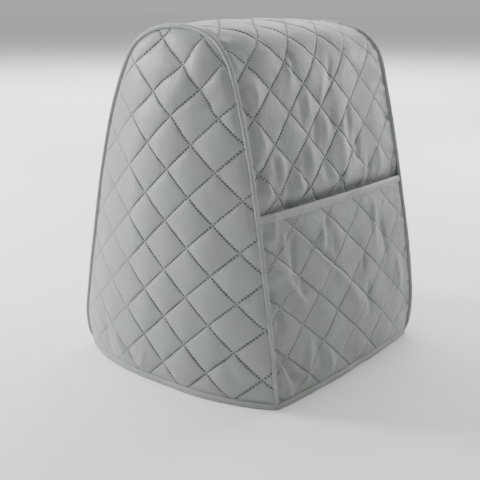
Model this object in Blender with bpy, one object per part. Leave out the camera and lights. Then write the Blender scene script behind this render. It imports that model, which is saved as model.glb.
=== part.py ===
"""A quilted cloth cover for a stand mixer, standing on its hem.

Two arched side panels are sewn to one long strip that runs up the front, over the top and down the
back. A pocket as wide as the strip lies on its lower front. Metres, +Z up, the pocket faces -Y, and
the origin is on the floor under the middle of the cover.
"""

import math

import bmesh
import bpy
import numpy as np

# Driving sizes
STRIP_WIDTH = 0.297
HALF = STRIP_WIDTH / 2
POCKET_TOP = 0.223
CENTRE_Y = 0.1582
HEM_TALL = 0.007
HEM_OUT = 0.0020
HEM_IN = 0.0052
PIPE_RADIUS = 0.0029
PIPE_OUT = 0.0004
BAND_TALL = 0.0095
GAP = 0.0003

# Cloth
CLOTH = 0.003
POCKET_CLOTH = 0.0022
PUFF = 0.0026
SEAM_INSET = PIPE_RADIUS + 0.0003
SIDE_BULGE = 0.035
SIDE_BULGE_LOSS = 0.010
BULGE_REACH = 0.14
BULGE_POWER = 2.4

# Set-back of the strip behind the pocket, and how far the pocket stands out
SET_BACK_EDGE = 0.0042
SET_BACK_MIDDLE = 0.0100
SET_BACK_FADE = 0.050
POCKET_OUT = 0.0045

# The arched seams, from the front hem over the top to the back hem, before centring
ARCH = (  # near_y, near_z, far_y, far_z
    (0.000, 0.000, -0.003, 0.000),
    (0.004, 0.040, -0.008, 0.040),
    (0.013, 0.110, -0.002, 0.110),
    (0.026, 0.195, 0.014, 0.195),
    (0.042, 0.285, 0.033, 0.285),
    (0.057, 0.345, 0.048, 0.345),
    (0.070, 0.383, 0.060, 0.383),
    (0.091, 0.408, 0.086, 0.407),
    (0.120, 0.418, 0.120, 0.417),
    (0.155, 0.420, 0.155, 0.420),
    (0.185, 0.414, 0.190, 0.414),
    (0.211, 0.399, 0.216, 0.399),
    (0.231, 0.370, 0.234, 0.370),
    (0.249, 0.332, 0.250, 0.332),
    (0.274, 0.256, 0.274, 0.256),
    (0.296, 0.165, 0.296, 0.165),
    (0.312, 0.090, 0.312, 0.090),
    (0.320, 0.032, 0.320, 0.032),
    (0.311, 0.000, 0.311, 0.000),
)
SAMPLES = 600
SMOOTHING = 30

# How far the strip bows outwards between its seams, along its length
BOW = (  # along, out
    (0.00, 0.008),
    (0.12, 0.005),
    (0.30, 0.004),
    (0.42, 0.005),
    (0.55, 0.005),
    (0.75, 0.006),
    (1.00, 0.008),
)

# Diamond quilting: a crossing of two seams and the two steps along them, on the flat cloth
SIDE_QUILT = ((0.1402, 0.3805), (-0.0319, -0.0279), (0.0327, -0.0306))  # y, z
STRIP_QUILT = ((-0.0637, 0.3865), (-0.0345, -0.0295), (0.0265, -0.0290))  # x, along
POCKET_QUILT = ((-0.1285, 0.1735), (-0.0325, -0.0290), (0.0325, -0.0290))  # x, along
CROWN_STEPS = (0.0, 0.18, 0.5, 0.82, 1.0)
FLAT_STEPS = (0.0, 0.23, 0.77, 1.0)

# Main folds: from one end to the other on the flat cloth, with half width and height (metres)
STRIP_FOLDS = (  # from_x, from_s, to_x, to_s, half_width, height
    (0.024, 0.325, 0.017, 0.225, 0.011, 0.0030),
    (0.040, 0.335, 0.037, 0.285, 0.007, -0.0024),
    (0.052, 0.300, 0.049, 0.250, 0.008, -0.0022),
    (-0.011, 0.385, 0.006, 0.330, 0.009, 0.0018),
    (-0.033, 0.345, -0.040, 0.310, 0.008, 0.0018),
    (-0.142, 0.372, -0.144, 0.340, 0.007, -0.0025),
    (-0.119, 0.368, -0.121, 0.340, 0.009, 0.0018),
    (-0.137, 0.275, -0.141, 0.240, 0.008, -0.0030),
    (-0.124, 0.268, -0.126, 0.238, 0.008, 0.0024),
    (-0.094, 0.252, -0.092, 0.228, 0.008, -0.0026),
    (-0.072, 0.262, -0.072, 0.232, 0.009, 0.0026),
    (0.074, 0.258, 0.071, 0.226, 0.009, -0.0026),
    (0.104, 0.264, 0.100, 0.230, 0.010, 0.0020),
    (-0.060, 0.790, -0.030, 0.900, 0.014, -0.0022),
    (0.050, 0.760, 0.070, 0.870, 0.013, 0.0022),
)
POCKET_FOLDS = (  # from_x, from_s, to_x, to_s, half_width, height
    (-0.104, 0.212, -0.024, 0.135, 0.008, -0.0026),
    (-0.096, 0.200, -0.020, 0.125, 0.008, 0.0022),
    (-0.142, 0.148, -0.100, 0.103, 0.010, -0.0026),
    (-0.134, 0.154, -0.092, 0.112, 0.009, 0.0026),
    (-0.150, 0.068, -0.118, 0.030, 0.008, -0.0026),
    (-0.145, 0.056, -0.126, 0.012, 0.009, 0.0034),
    (-0.101, 0.188, -0.104, 0.158, 0.008, -0.0024),
    (-0.033, 0.200, -0.036, 0.168, 0.009, -0.0022),
    (-0.019, 0.130, 0.016, 0.084, 0.012, 0.0024),
    (-0.088, 0.066, -0.098, 0.018, 0.010, 0.0026),
    (0.079, 0.176, 0.084, 0.130, 0.010, -0.0024),
    (0.066, 0.200, 0.060, 0.150, 0.010, 0.0022),
    (0.000, 0.016, 0.020, -0.004, 0.012, -0.0020),
)
SIDE_FOLDS = (  # from_y, from_z, to_y, to_z, half_width, height
    (0.299, 0.150, 0.308, 0.100, 0.007, -0.0024),
    (0.306, 0.120, 0.312, 0.060, 0.006, -0.0022),
    (0.205, 0.385, 0.240, 0.335, 0.009, 0.0016),
    (0.230, 0.040, 0.215, 0.010, 0.008, 0.0018),
    (0.255, 0.050, 0.245, 0.012, 0.008, -0.0016),
)

# Colours of the cloth and of its bias binding
PANEL_GREY = (0.36, 0.40, 0.375)
STRIP_GREY = (0.31, 0.35, 0.33)
BINDING_GREY = (0.37, 0.41, 0.39)


def smooth_curve(stations):
    """Evenly spaced points on a rounded curve through the stations."""
    points = np.array(stations)
    t = np.concatenate([[0], np.cumsum(np.linalg.norm(np.diff(points, axis=0), axis=1))])
    slopes = np.gradient(points, t, axis=0)
    dense = np.linspace(0, t[-1], SAMPLES * 2)
    k = np.clip(np.searchsorted(t, dense, side="right") - 1, 0, len(t) - 2)
    span = (t[k + 1] - t[k])[:, None]
    f = ((dense - t[k]) / span[:, 0])[:, None]
    curve = (
        points[k] * (2 * f**3 - 3 * f**2 + 1)
        + slopes[k] * span * (f**3 - 2 * f**2 + f)
        + points[k + 1] * (3 * f**2 - 2 * f**3)
        + slopes[k + 1] * span * (f**3 - f**2)
    )
    run = np.concatenate([[0], np.cumsum(np.linalg.norm(np.diff(curve, axis=0), axis=1))])
    even = np.linspace(0, run[-1], SAMPLES)
    curve = np.stack([np.interp(even, run, curve[:, c]) for c in (0, 1)], axis=1)
    for _ in range(SMOOTHING):
        curve[1:-1] = (curve[:-2] + 2 * curve[1:-1] + curve[2:]) / 4
    return curve


def curve_length(curve):
    return float(np.linalg.norm(np.diff(curve, axis=0), axis=1).sum())


NEAR_SEAM = smooth_curve([(row[0], row[1]) for row in ARCH])
FAR_SEAM = smooth_curve([(row[2], row[3]) for row in ARCH])
LENGTH = curve_length(NEAR_SEAM)


def fade(value, width):
    """0 at 0 and below, 1 at width and above, smooth between."""
    t = np.clip(value / width, 0, 1)
    return t * t * (3 - 2 * t)


def arch_at(x, s):
    """The strip's own line at x, a length s from the front hem: y, z and its outward normal."""
    rank = np.clip(s / LENGTH, 0, 1) * (SAMPLES - 1)
    places = np.arange(SAMPLES)
    far = np.clip(x / STRIP_WIDTH + 0.5, 0, 1)
    line = []
    slope = []
    for c in (0, 1):
        near_line = np.interp(rank, places, NEAR_SEAM[:, c])
        far_line = np.interp(rank, places, FAR_SEAM[:, c])
        near_slope = np.interp(rank, places, np.gradient(NEAR_SEAM[:, c]))
        far_slope = np.interp(rank, places, np.gradient(FAR_SEAM[:, c]))
        line.append(near_line * (1 - far) + far_line * far)
        slope.append(near_slope * (1 - far) + far_slope * far)
    size = np.hypot(slope[0], slope[1])
    return line[0] - CENTRE_Y, line[1], -slope[1] / size, slope[0] / size


def fold_height(folds, u, v):
    """Soft troughs and ridges, each round its own line and fading at both ends."""
    total = np.zeros(np.shape(u))
    for from_u, from_v, to_u, to_v, half_width, height in folds:
        run_u = to_u - from_u
        run_v = to_v - from_v
        length = math.hypot(run_u, run_v)
        along = ((u - from_u) * run_u + (v - from_v) * run_v) / length
        across = ((u - from_u) * run_v - (v - from_v) * run_u) / length
        ends = ((along - length / 2) / (length / 2 + half_width)) ** 4
        total = total + height * np.exp(-((across / half_width) ** 2) - ends)
    return total


def quilt_height(quilt, u, v):
    """The puff of each diamond, none along its sewn sides."""
    (start_u, start_v), (a_u, a_v), (b_u, b_v) = quilt
    area = a_u * b_v - a_v * b_u
    a = ((u - start_u) * b_v - (v - start_v) * b_u) / area
    b = (a_u * (v - start_v) - a_v * (u - start_u)) / area
    a = a - np.floor(a)
    b = b - np.floor(b)
    return PUFF * np.sqrt(16 * a * (1 - a) * b * (1 - b))


def strip_bow(x, s):
    out = np.interp(s / LENGTH, [row[0] for row in BOW], [row[1] for row in BOW])
    return out * (1 - np.abs(x / HALF) ** BULGE_POWER)


def set_back(x, s):
    """How far the strip lies behind the pocket, fading out above the pocket's mouth."""
    middle = 1 - np.abs(x / HALF) ** BULGE_POWER
    deep = SET_BACK_MIDDLE * middle * fade(s, POCKET_TOP / 2)
    return (SET_BACK_EDGE + deep) * (1 - fade(s - POCKET_TOP, SET_BACK_FADE))


def strip_point(x, s, out):
    """A point that stands out from the strip's line."""
    y, z, out_y, out_z = arch_at(x, s)
    out = out + strip_bow(x, s)
    level = fade(z, HEM_TALL * 4)
    return np.stack([x, y + out_y * out, z + out_z * out * level], axis=-1)


def strip_outer(x, s):
    covered = 1 - fade(s - POCKET_TOP, SET_BACK_FADE)
    edge = fade(HALF - np.abs(x), 0.012)
    puff = quilt_height(STRIP_QUILT, x, s) * edge * (1 - 0.8 * covered)
    folds = fold_height(STRIP_FOLDS, x, s) * edge
    return strip_point(x, s, puff + folds - set_back(x, s))


def strip_inner(x, s):
    edge = fade(HALF - np.abs(x), 0.012)
    folds = fold_height(STRIP_FOLDS, x, s) * edge * 0.6
    return strip_point(x, s, folds - set_back(x, s) - CLOTH)


def pocket_out(x, s):
    middle = 1 - np.abs(x / HALF) ** BULGE_POWER
    return POCKET_OUT * middle * fade(s, POCKET_TOP)


def pocket_outer(x, s):
    edge = fade(HALF - np.abs(x), 0.012)
    low = fade(s - HEM_TALL, 0.012) * fade(POCKET_TOP - BAND_TALL - s, 0.008)
    puff = quilt_height(POCKET_QUILT, x, s) * edge * low
    folds = fold_height(POCKET_FOLDS, x, s) * edge * fade(s, 0.012)
    return strip_point(x, s, pocket_out(x, s) + puff + folds)


def pocket_inner(x, s):
    edge = fade(HALF - np.abs(x), 0.012)
    folds = fold_height(POCKET_FOLDS, x, s) * edge * fade(s, 0.012) * 0.45
    return strip_point(x, s, pocket_out(x, s) + folds - POCKET_CLOTH)


def seam_line(side, s):
    """The arched seam's y and z on one side, -1 near or 1 far."""
    y, z, _, _ = arch_at(np.full(np.shape(s), side * HALF), s)
    return y, z


def seam_distance(side, y, z):
    """How far a place on a side panel lies inside its arched seam."""
    line_y, line_z = seam_line(side, np.linspace(0, LENGTH, 240))
    apart = np.hypot(y[..., None] - line_y, z[..., None] - line_z)
    return apart.min(axis=-1)


def side_bulge(side, y, z):
    height = SIDE_BULGE - SIDE_BULGE_LOSS * np.clip(z / 0.28, 0, 1.4)
    reach = np.clip(seam_distance(side, y, z) / BULGE_REACH, 0, 1)
    return height * (1 - (1 - reach) ** BULGE_POWER)


def side_outer(side, y, z):
    edge = fade(seam_distance(side, y, z) - SEAM_INSET, 0.009) * fade(z - HEM_TALL, 0.012)
    puff = quilt_height(SIDE_QUILT, y + CENTRE_Y, z) * edge
    folds = fold_height(SIDE_FOLDS, y + CENTRE_Y, z) * edge
    return np.stack([side * (HALF + side_bulge(side, y, z) + puff + folds), y, z], axis=-1)


def side_inner(side, y, z):
    return np.stack([side * (HALF + side_bulge(side, y, z) - CLOTH), y, z], axis=-1)


def lattice_cells(quilt, shift, steps, outline):
    """The small cells of each diamond, aligned with its sewn sides, over the outline's box."""
    (start_u, start_v), step_a, step_b = quilt
    start = np.array([start_u - shift, start_v])
    a = np.array(step_a)
    b = np.array(step_b)
    corners = np.array(outline)
    ranks = np.linalg.solve(np.stack([a, b], axis=1), (box_corners(corners) - start).T).T
    low = np.floor(ranks.min(axis=0)).astype(int)
    high = np.ceil(ranks.max(axis=0)).astype(int)
    cells = []
    for i in range(low[0], high[0]):
        for j in range(low[1], high[1]):
            for p, q in zip(steps, steps[1:]):
                for r, t in zip(steps, steps[1:]):
                    places = ((i + p, j + r), (i + q, j + r), (i + q, j + t), (i + p, j + t))
                    cells.append([start + m * a + n * b for m, n in places])
    return cells


def grid_cells(columns, rows):
    cells = []
    for u0, u1 in zip(columns, columns[1:]):
        for v0, v1 in zip(rows, rows[1:]):
            cells.append([np.array(p) for p in ((u0, v0), (u1, v0), (u1, v1), (u0, v1))])
    return cells


def box_corners(points):
    low = points.min(axis=0)
    high = points.max(axis=0)
    return np.array([(u, v) for u in (low[0], high[0]) for v in (low[1], high[1])])


def turn(a, b, p):
    return (b[0] - a[0]) * (p[1] - a[1]) - (b[1] - a[1]) * (p[0] - a[0])


def clipped(cell, outline):
    """The part of a cell inside a rounded outline that runs anticlockwise."""
    if turn(cell[0], cell[1], cell[2]) < 0:
        cell = cell[::-1]
    for k, a in enumerate(outline):
        b = outline[(k + 1) % len(outline)]
        sides = [turn(a, b, p) for p in cell]
        if min(sides) >= 0:
            continue
        kept = []
        for m, p in enumerate(cell):
            n = (m + 1) % len(cell)
            if sides[m] >= 0:
                kept.append(p)
            if (sides[m] >= 0) != (sides[n] >= 0):
                kept.append(p + (cell[n] - p) * sides[m] / (sides[m] - sides[n]))
        cell = kept
        if len(cell) < 3:
            return []
    return cell


def flat_patch(cells, outline):
    """A flat triangulated patch of the cells inside the outline: its points, faces and rim."""
    patch = bmesh.new()
    for cell in cells:
        corners = clipped(cell, outline)
        if corners:
            patch.faces.new([patch.verts.new((p[0], p[1], 0)) for p in corners])
    bmesh.ops.remove_doubles(patch, verts=patch.verts, dist=0.0004)
    bmesh.ops.triangulate(patch, faces=patch.faces)
    patch.verts.index_update()
    follows = {}
    for edge in patch.edges:
        if edge.is_boundary:
            loop = edge.link_loops[0]
            follows[loop.vert.index] = loop.link_loop_next.vert.index
    rim = [next(iter(follows))]
    while follows[rim[-1]] != rim[0]:
        rim.append(follows[rim[-1]])
    points = np.array([v.co[:2] for v in patch.verts])
    faces = [[v.index for v in face.verts] for face in patch.faces]
    patch.free()
    return points, faces, rim


def rim_places(points, rim, outline):
    """The rim from the place nearest the outline's start, with each point's length round it."""
    corners = np.array(outline)
    rim = list(rim)
    first = int(np.argmin([np.hypot(*(points[k] - corners[0])) for k in rim]))
    rim = rim[first:] + rim[:first]
    steps = [np.hypot(*(points[a] - points[b])) for a, b in zip(rim, rim[1:] + rim[:1])]
    run = np.concatenate([[0], np.cumsum(steps)])
    return rim, run / run[-1]


def shell(name, outline, outer_cells, inner_cells, outer_point, inner_point, colour):
    """One sheet of cloth as a closed solid: an outer face, an inner face and the rim between."""
    outer, outer_faces, outer_rim = flat_patch(outer_cells, outline)
    inner, inner_faces, inner_rim = flat_patch(inner_cells, outline)
    outer_rim, outer_run = rim_places(outer, outer_rim, outline)
    inner_rim, inner_run = rim_places(inner, inner_rim, outline)
    points = np.concatenate(
        [outer_point(outer[:, 0], outer[:, 1]), inner_point(inner[:, 0], inner[:, 1])]
    )
    shift = len(outer)
    faces = list(outer_faces) + [[k + shift for k in reversed(face)] for face in inner_faces]
    i = 0
    j = 0
    while i < len(outer_rim) or j < len(inner_rim):
        near = outer_rim[i % len(outer_rim)]
        far = inner_rim[j % len(inner_rim)] + shift
        if j == len(inner_rim) or (i < len(outer_rim) and outer_run[i + 1] <= inner_run[j + 1]):
            i += 1
            faces.append([outer_rim[i % len(outer_rim)], near, far])
        else:
            j += 1
            faces.append([far, inner_rim[j % len(inner_rim)] + shift, near])
    return add_object(name, points, faces, colour)


def add_object(name, points, faces, colour):
    mesh = bpy.data.meshes.new(name)
    build = bmesh.new()
    corners = [build.verts.new(p) for p in points]
    for face in faces:
        build.faces.new([corners[k] for k in face])
    if build.calc_volume(signed=True) < 0:
        bmesh.ops.reverse_faces(build, faces=build.faces)
    build.to_mesh(mesh)
    build.free()
    mesh.shade_smooth()
    mesh.set_sharp_from_angle(angle=math.radians(50))
    mesh.materials.append(cloth_material(name, colour))
    part = bpy.data.objects.new(name, mesh)
    bpy.context.collection.objects.link(part)
    return part


def cloth_material(name, colour):
    material = bpy.data.materials.new(name + "_cloth")
    material.use_nodes = True
    shader = material.node_tree.nodes["Principled BSDF"]
    shader.inputs["Base Color"].default_value = (*colour, 1)
    shader.inputs["Roughness"].default_value = 0.6
    shader.inputs["Metallic"].default_value = 0.0
    return material


def arch_stops(side, longest, most_turn):
    """Lengths along a seam, closer together where it bends more."""
    s = np.linspace(0, LENGTH, SAMPLES)
    y, z = seam_line(side, s)
    heading = np.unwrap(np.arctan2(np.gradient(z), np.gradient(y)))
    measure = s / longest + np.abs(heading - heading[0]) / most_turn
    return np.interp(np.linspace(0, measure[-1], int(measure[-1]) + 2), measure, s)


def strip_outline(low, high, inset):
    half = HALF - inset
    return [np.array(p) for p in ((-half, low), (half, low), (half, high), (-half, high))]


def side_outline(side):
    """The side panel's cut edge, inside the seam and above the hem, anticlockwise."""
    floor = HEM_TALL + GAP
    points = []
    for s in arch_stops(side, 0.035, math.radians(7)):
        y, z, out_y, out_z = arch_at(np.array(side * HALF), np.array(s))
        points.append(np.array([y - out_y * SEAM_INSET, z - out_z * SEAM_INSET]))
    cut = []
    for a, b in zip(points, points[1:]):
        if (a[1] < floor) != (b[1] < floor):
            cut.append(a + (b - a) * (floor - a[1]) / (b[1] - a[1]))
        if b[1] >= floor:
            cut.append(b)
    return cut[::-1]


def build_side(side, name):
    outline = side_outline(side)
    low = np.min(outline, axis=0)
    high = np.max(outline, axis=0)
    columns = np.linspace(low[0] - 0.001, high[0] + 0.001, 12)
    rows = np.linspace(low[1] - 0.001, high[1] + 0.001, 15)
    shell(
        name,
        outline,
        lattice_cells(SIDE_QUILT, CENTRE_Y, FLAT_STEPS, outline),
        grid_cells(columns, rows),
        lambda y, z: side_outer(side, y, z),
        lambda y, z: side_inner(side, y, z),
        PANEL_GREY,
    )


def hem_start(side, back):
    """The length at which a seam stands just above the hem binding."""
    s = np.linspace(0, LENGTH, SAMPLES)
    _, z = seam_line(side, s)
    above = np.flatnonzero(z > HEM_TALL + 2 * GAP)
    return s[above[-1] if back else above[0]]


def build_strip():
    low = max(hem_start(side, False) for side in (-1, 1))
    high = min(hem_start(side, True) for side in (-1, 1))
    outline = strip_outline(low, high, SEAM_INSET)
    columns = np.linspace(-HALF, HALF, 11)
    rows = arch_stops(-1, 0.030, math.radians(12))
    rows[0] = 0
    shell(
        "strip",
        outline,
        lattice_cells(STRIP_QUILT, 0, FLAT_STEPS, outline),
        grid_cells(columns, rows),
        strip_outer,
        strip_inner,
        STRIP_GREY,
    )


def build_pocket():
    low = max(hem_start(side, False) for side in (-1, 1))
    outline = strip_outline(low, POCKET_TOP - BAND_TALL - GAP, SEAM_INSET)
    columns = np.linspace(-HALF, HALF, 15)
    rows = np.linspace(low - 0.001, POCKET_TOP, 12)
    shell(
        "pocket",
        outline,
        lattice_cells(POCKET_QUILT, 0, CROWN_STEPS, outline),
        grid_cells(columns, rows),
        pocket_outer,
        pocket_inner,
        STRIP_GREY,
    )


def swept(name, sections, closed, colour):
    """A solid through sections that each hold the same number of points."""
    count = len(sections)
    sides = len(sections[0])
    points = np.concatenate(sections)
    faces = []
    for k in range(count if closed else count - 1):
        here = k * sides
        there = (k + 1) % count * sides
        for m in range(sides):
            n = (m + 1) % sides
            faces.append([here + m, here + n, there + n, there + m])
    if not closed:
        faces.append(list(range(sides))[::-1])
        faces.append([(count - 1) * sides + m for m in range(sides)])
    return add_object(name, points, faces, colour)


def build_piping(side, name):
    """A round bias binding over the corner where a side panel meets the strip."""
    stops = arch_stops(side, 0.03, math.radians(6))
    low = hem_start(side, False)
    high = hem_start(side, True)
    stops = np.concatenate([[low], stops[(stops > low + 0.004) & (stops < high - 0.004)], [high]])
    sections = []
    for s in stops:
        y, z, out_y, out_z = arch_at(np.array(side * HALF), np.array(s))
        ring = []
        for k in range(8):
            angle = math.tau * (k + 0.5) / 8
            out = PIPE_OUT + PIPE_RADIUS * math.cos(angle)
            across = side * (HALF + PIPE_OUT + PIPE_RADIUS * math.sin(angle))
            level = float(fade(z, HEM_TALL * 4))
            ring.append((across, y + out_y * out, z + out_z * out * level))
        sections.append(np.array(ring))
    swept(name, sections, False, BINDING_GREY)


def build_pocket_binding():
    """The folded band along the pocket's mouth, from seam to seam."""
    profile = (  # along, out
        (0.0, -0.0030),
        (0.0, 0.0004),
        (0.0012, 0.0010),
        (BAND_TALL - 0.0014, 0.0012),
        (BAND_TALL, 0.0002),
        (BAND_TALL, -0.0022),
        (BAND_TALL - 0.0012, -0.0032),
    )
    half = HALF - SEAM_INSET
    sections = []
    for x in np.linspace(-half, half, 19):
        s = np.array([POCKET_TOP - BAND_TALL + along for along, _ in profile])
        out = np.array([row[1] for row in profile])
        across = np.full(len(profile), x)
        stand = pocket_out(across, s) + fold_height(POCKET_FOLDS, across, s) * 0.3
        sections.append(strip_point(across, s, stand + out))
    swept("pocket_binding", sections, False, BINDING_GREY)


def hem_path():
    """The hem's line on the floor, anticlockwise from the near front corner, with its mitres."""
    corner = 0.0006
    across = np.linspace(-HALF + corner, HALF - corner, 17)
    front = strip_point(across, np.zeros(17), fold_height(POCKET_FOLDS, across, np.zeros(17)) * 0.6)
    back = strip_point(across[::-1], np.full(17, LENGTH), np.zeros(17))
    loop = [front[:, :2]]
    for side, ends in ((1, (front[-1, 1], back[0, 1])), (-1, (back[-1, 1], front[0, 1]))):
        y = np.linspace(ends[0], ends[1], 19)[1:-1]
        seam_y, _ = seam_line(side, np.array([0, LENGTH]))
        y = np.clip(y, seam_y[0] + corner, seam_y[1] - corner)
        x = side * (HALF + side_bulge(side, y, np.zeros(17)))
        loop.append(np.stack([x, y], axis=1))
        if side > 0:
            loop.append(back[:, :2])
    points = np.concatenate(loop)
    ahead = np.roll(points, -1, axis=0) - points
    ahead = ahead / np.linalg.norm(ahead, axis=1)[:, None]
    sides = np.stack([ahead[:, 1], -ahead[:, 0]], axis=1)
    both = sides + np.roll(sides, 1, axis=0)
    mitre = both / np.maximum((both * sides).sum(axis=1), 0.75)[:, None]
    return points, mitre


def build_hem():
    """The folded binding round the lower edge, flat where it stands on the floor."""
    round_off = 0.0014
    profile = (  # out, up
        (HEM_OUT - round_off / 2, 0.0),
        (HEM_OUT, round_off),
        (HEM_OUT, HEM_TALL - round_off),
        (HEM_OUT - round_off, HEM_TALL),
        (-HEM_IN + round_off, HEM_TALL),
        (-HEM_IN, HEM_TALL - round_off),
        (-HEM_IN, round_off),
        (-HEM_IN + round_off / 2, 0.0),
    )
    points, mitres = hem_path()
    sections = []
    for place, mitre in zip(points, mitres):
        sections.append(np.array([(*(place + mitre * out), up) for out, up in profile]))
    swept("hem_binding", sections, True, BINDING_GREY)


def main():
    for old in list(bpy.data.objects):
        bpy.data.objects.remove(old)
    build_side(-1, "side_panel_near")
    build_side(1, "side_panel_far")
    build_strip()
    build_pocket()
    build_pocket_binding()
    build_piping(-1, "piping_near")
    build_piping(1, "piping_far")
    build_hem()


main()
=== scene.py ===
"""Looks of a quilted cloth cover for a stand mixer, standing on its hem.

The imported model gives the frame. Each sheet of cloth is made again here with its stitched diamonds,
folds and puckers, and the bindings with their stitch lines. Metres, +Z up, the pocket faces -Y.
"""

import math

import bmesh
import bpy
import numpy as np
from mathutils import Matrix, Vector


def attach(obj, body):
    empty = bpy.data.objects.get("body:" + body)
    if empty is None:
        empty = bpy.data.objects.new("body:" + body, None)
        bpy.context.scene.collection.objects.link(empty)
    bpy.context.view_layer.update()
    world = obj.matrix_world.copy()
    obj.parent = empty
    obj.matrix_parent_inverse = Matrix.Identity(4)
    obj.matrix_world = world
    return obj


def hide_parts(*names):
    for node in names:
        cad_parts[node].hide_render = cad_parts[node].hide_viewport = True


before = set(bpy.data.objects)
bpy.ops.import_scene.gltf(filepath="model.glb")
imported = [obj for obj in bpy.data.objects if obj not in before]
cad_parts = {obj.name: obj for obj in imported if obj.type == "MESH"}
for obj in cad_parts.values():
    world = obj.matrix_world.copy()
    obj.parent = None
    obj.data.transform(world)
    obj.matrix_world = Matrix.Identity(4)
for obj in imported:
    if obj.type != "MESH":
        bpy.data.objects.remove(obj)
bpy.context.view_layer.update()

# Sizes of the cover. The cloth, the piping and how far the pocket stands out and is set
# back are less than in its solids, and the side panels reach under the piping.
STRIP_WIDTH = 0.297
HALF = STRIP_WIDTH / 2
POCKET_TOP = 0.223
CENTRE_Y = 0.1582
HEM_TALL = 0.007
HEM_OUT = 0.0020
HEM_IN = 0.0052
PIPE_RADIUS = 0.0027
PIPE_OUT = 0.0004
BAND_TALL = 0.0095
CLOTH = 0.0026
POCKET_CLOTH = 0.0022
SEAM_INSET = PIPE_RADIUS - 0.0005
SIDE_BULGE = 0.035
SIDE_BULGE_LOSS = 0.010
BULGE_REACH = 0.14
BULGE_POWER = 2.4
SET_BACK_EDGE = 0.0034
SET_BACK_MIDDLE = 0.0035
SET_BACK_FADE = 0.020
POCKET_OUT = 0.0032

# The arched seams, from the front hem over the top to the back hem, before centring
ARCH = (  # near_y, near_z, far_y, far_z
    (0.000, 0.000, -0.003, 0.000),
    (0.004, 0.040, -0.008, 0.040),
    (0.013, 0.110, -0.002, 0.110),
    (0.026, 0.195, 0.014, 0.195),
    (0.042, 0.285, 0.033, 0.285),
    (0.057, 0.345, 0.048, 0.345),
    (0.070, 0.383, 0.060, 0.383),
    (0.091, 0.408, 0.086, 0.407),
    (0.120, 0.418, 0.120, 0.417),
    (0.155, 0.420, 0.155, 0.420),
    (0.185, 0.414, 0.190, 0.414),
    (0.211, 0.399, 0.216, 0.399),
    (0.231, 0.370, 0.234, 0.370),
    (0.249, 0.332, 0.250, 0.332),
    (0.274, 0.256, 0.274, 0.256),
    (0.296, 0.165, 0.296, 0.165),
    (0.312, 0.090, 0.312, 0.090),
    (0.320, 0.032, 0.320, 0.032),
    (0.311, 0.000, 0.311, 0.000),
)
SAMPLES = 600
SMOOTHING = 30

# How far the strip bows outwards between its seams, along its length
BOW = (  # along, out
    (0.00, 0.008),
    (0.12, 0.005),
    (0.30, 0.004),
    (0.42, 0.005),
    (0.55, 0.005),
    (0.75, 0.006),
    (1.00, 0.008),
)

# Diamond quilting: a crossing of two seams and the two steps along them, on the flat cloth
SIDE_QUILT = ((0.1402, 0.3805), (-0.0319, -0.0279), (0.0327, -0.0306))  # y, z
STRIP_QUILT = ((-0.0637, 0.3865), (-0.0345, -0.0295), (0.0265, -0.0290))  # x, along
POCKET_QUILT = ((-0.1285, 0.1735), (-0.0325, -0.0290), (0.0325, -0.0290))  # x, along
STITCH_PITCH = 0.0040
STITCH_LONG = 0.0027
THREAD_RADIUS = 0.00036
SIDE_STRAY = (  # y, z, aside, up: how far the sewn lines stray from the even net
    (0.1402, 0.3805, -0.0210, -0.0010),
    (0.1721, 0.4084, -0.0160, -0.0010),
    (0.1729, 0.3499, -0.0110, -0.0010),
    (0.1075, 0.4111, -0.0060, -0.0030),
    (0.1083, 0.3526, -0.0115, 0.0030),
    (0.1410, 0.3220, -0.0070, 0.0035),
    (0.0764, 0.3247, 0.0000, 0.0000),
    (0.1091, 0.2941, -0.0010, 0.0000),
    (0.1418, 0.2635, -0.0020, 0.0010),
    (0.1745, 0.2914, -0.0020, 0.0000),
)
STRIP_STRAY = (  # x, along, aside, up
    (-0.0637, 0.3865, 0.0020, -0.0035),
    (-0.0982, 0.3570, 0.0020, -0.0010),
    (-0.1327, 0.3275, 0.0005, 0.0000),
    (-0.1062, 0.2985, 0.0025, -0.0040),
    (-0.0717, 0.3280, 0.0000, 0.0000),
    (-0.0902, 0.4155, 0.0040, -0.0035),
    (-0.1142, 0.2405, 0.0040, -0.0020),
    (-0.1407, 0.2695, 0.0050, -0.0010),
    (-0.0797, 0.2695, 0.0000, 0.0000),
    (-0.0372, 0.3575, 0.0000, 0.0000),
)
POCKET_STRAY = (  # x, along, aside, up
    (-0.1285, 0.1735, 0.0008, 0.0006),
    (-0.0960, 0.1445, 0.0, 0.0),
)
STRAY_REACH = 0.022
STRAYS = {SIDE_QUILT: SIDE_STRAY, STRIP_QUILT: STRIP_STRAY, POCKET_QUILT: POCKET_STRAY}
STRIP_FOLD_SHARE = 0.7
SIDE_PUFF = 0.0038
STRIP_PUFF = 0.0019
POCKET_PUFF = 0.0017

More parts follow.
